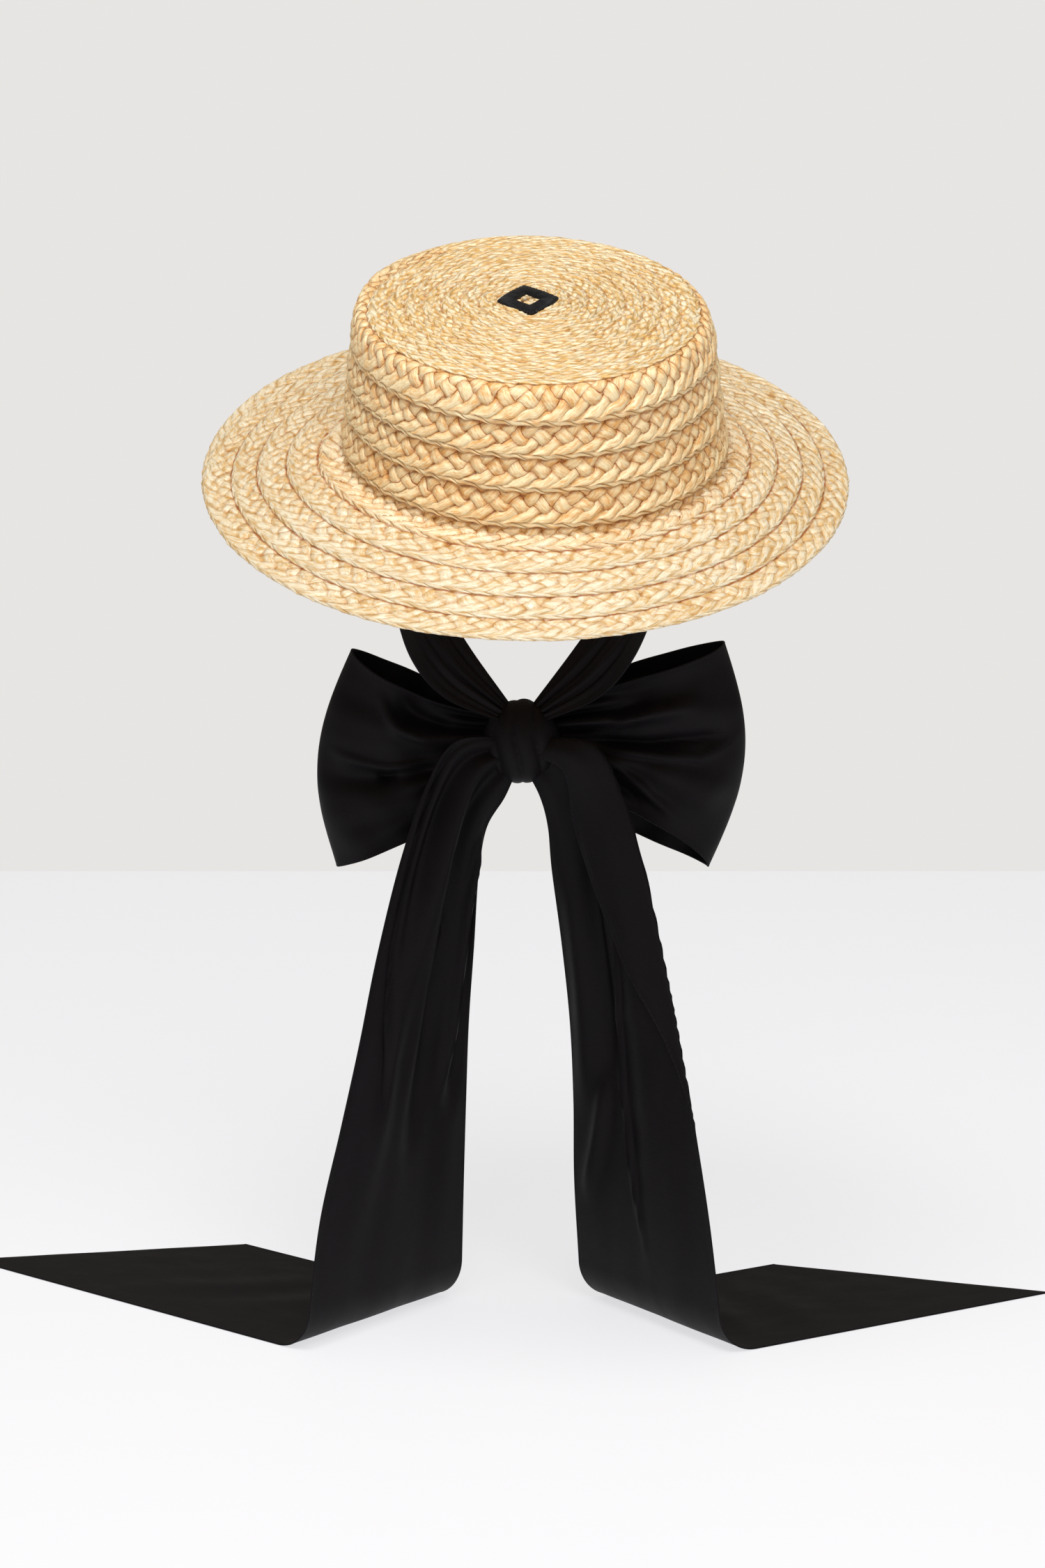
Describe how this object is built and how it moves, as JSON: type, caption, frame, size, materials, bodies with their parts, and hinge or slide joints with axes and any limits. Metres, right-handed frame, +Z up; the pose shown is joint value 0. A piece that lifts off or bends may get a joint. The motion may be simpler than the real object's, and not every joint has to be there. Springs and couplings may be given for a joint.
{
  "type": "straw boater hat with ribbon ties",
  "caption": "Boater of sewn raffia braid with a flat crown, a level round brim and wide black ribbon ties knotted in a bow at the nape, with two long tails.",
  "frame": {"origin": "middle of the head opening, at the level where the crown meets the brim, where the head holds the hat", "axes": "+Z up, -Y towards the front of the hat, +X to the right seen from the front; the hat's own axis leans 19 degrees, its front low"},
  "size_m": [0.5595, 0.3554, 0.533],
  "materials": {
    "crown_straw": "sewn raffia braid, satin, tan on the side",
    "brim_straw": "sewn raffia braid, satin, pale gold",
    "ribbon": "black woven ribbon, soft satin sheen, stitched hems",
    "thread": "black satin stitch embroidery"
  },
  "bodies": {
    "root": {"crown": "crown_straw", "brim": "brim_straw", "motif": "thread", "tie_left": "ribbon", "tie_right": "ribbon", "bow_knot": "ribbon", "bow_loop_left": "ribbon", "bow_loop_right": "ribbon", "tail_left": "ribbon", "tail_right": "ribbon"}
  },
  "joints": []
}
